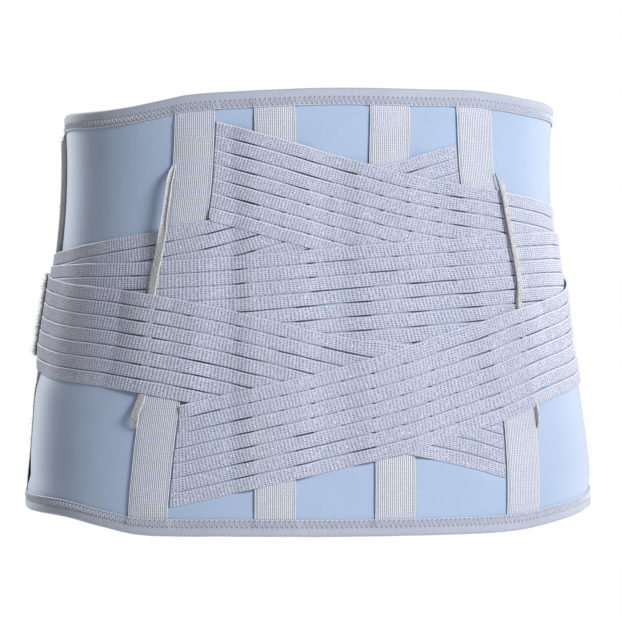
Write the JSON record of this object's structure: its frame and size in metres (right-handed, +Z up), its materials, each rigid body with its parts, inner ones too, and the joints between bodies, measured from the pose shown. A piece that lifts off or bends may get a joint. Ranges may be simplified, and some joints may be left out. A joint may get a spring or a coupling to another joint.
{
  "type": "lumbosacral brace",
  "caption": "Soft wraparound back brace in its worn shape, with bound edges, stay channels and slit elastic bands that cross over the back and close at the front with pile tabs.",
  "frame": {"origin": "middle of the hollow where the torso goes, at half the height of the back", "axes": "+Z up, -Y towards the wearer's back, +X towards the wearer's right"},
  "size_m": [0.3613, 0.2479, 0.2701],
  "materials": {
    "panel": "brushed light blue knit over thin foam",
    "binding": "soft grey-lilac folded tape",
    "channel": "fine woven grey tape",
    "band": "ribbed grey-lilac elastic",
    "keeper": "narrow brushed grey tape",
    "pile": "grey loop pile"
  },
  "bodies": {
    "root": {"back_panel": "panel", "top_binding": "binding", "bottom_binding": "binding", "stay_channel_inner_left": "channel", "stay_channel_inner_right": "channel", "stay_channel_outer_left": "channel", "stay_channel_outer_right": "channel", "upper_band_to_left": "band", "upper_band_to_right": "band", "waist_band": "band", "lower_band_to_left": "band", "lower_band_to_right": "band", "keeper_left": "keeper", "keeper_right": "keeper", "front_wing_left": "pile", "front_wing_right": "pile", "pull_tab_left": "pile", "pull_tab_right": "pile"}
  },
  "joints": []
}
